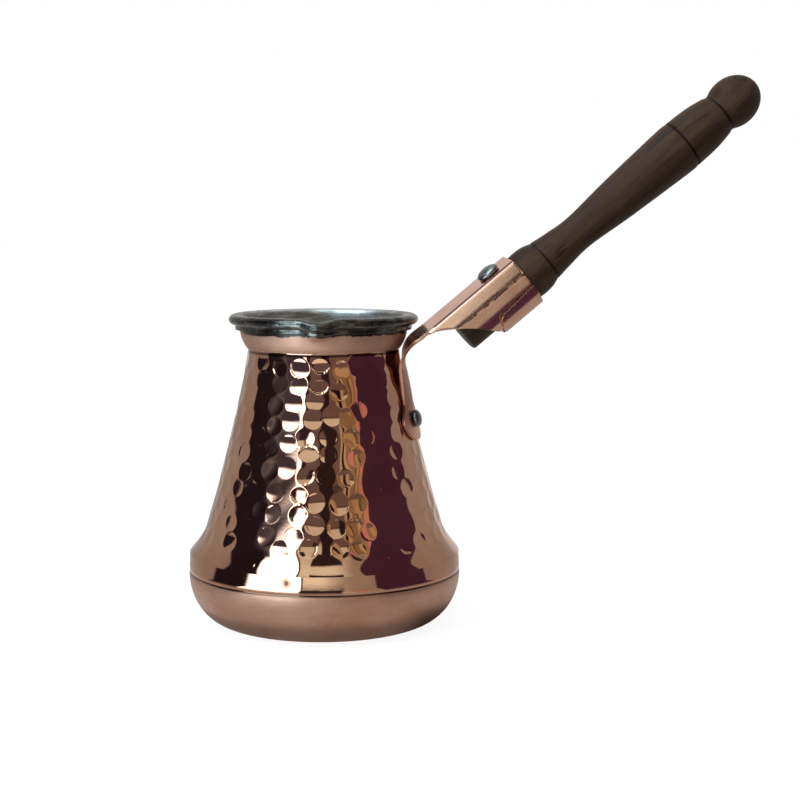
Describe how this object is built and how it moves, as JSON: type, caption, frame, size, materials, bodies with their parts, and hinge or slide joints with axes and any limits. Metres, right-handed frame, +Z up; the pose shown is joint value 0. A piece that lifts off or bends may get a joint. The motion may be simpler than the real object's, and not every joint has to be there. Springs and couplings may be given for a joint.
{
  "type": "coffee pot",
  "caption": "Hammered copper coffee pot with a flared mouth, a rolled rim with a pressed pouring spout, and a long turned wooden handle held in a riveted sheet copper bracket.",
  "frame": {"origin": "centre of the flat base, on the surface that the pot stands on", "axes": "+Z up, -Y out through the pouring spout, +X towards the side that the handle leaves over"},
  "size_m": [0.2086, 0.0992, 0.1989],
  "materials": {
    "pot_copper": "polished hammered copper, tinned inside and over the rim",
    "bracket_copper": "polished copper sheet",
    "rivet_steel": "grey steel, satin",
    "handle_wood": "dark walnut, satin",
    "pin_steel": "grey steel, satin"
  },
  "bodies": {
    "root": {"pot_body": "pot_copper", "handle_bracket": "bracket_copper", "body_rivet": "rivet_steel", "wooden_handle": "handle_wood", "handle_pin": "pin_steel"}
  },
  "joints": []
}
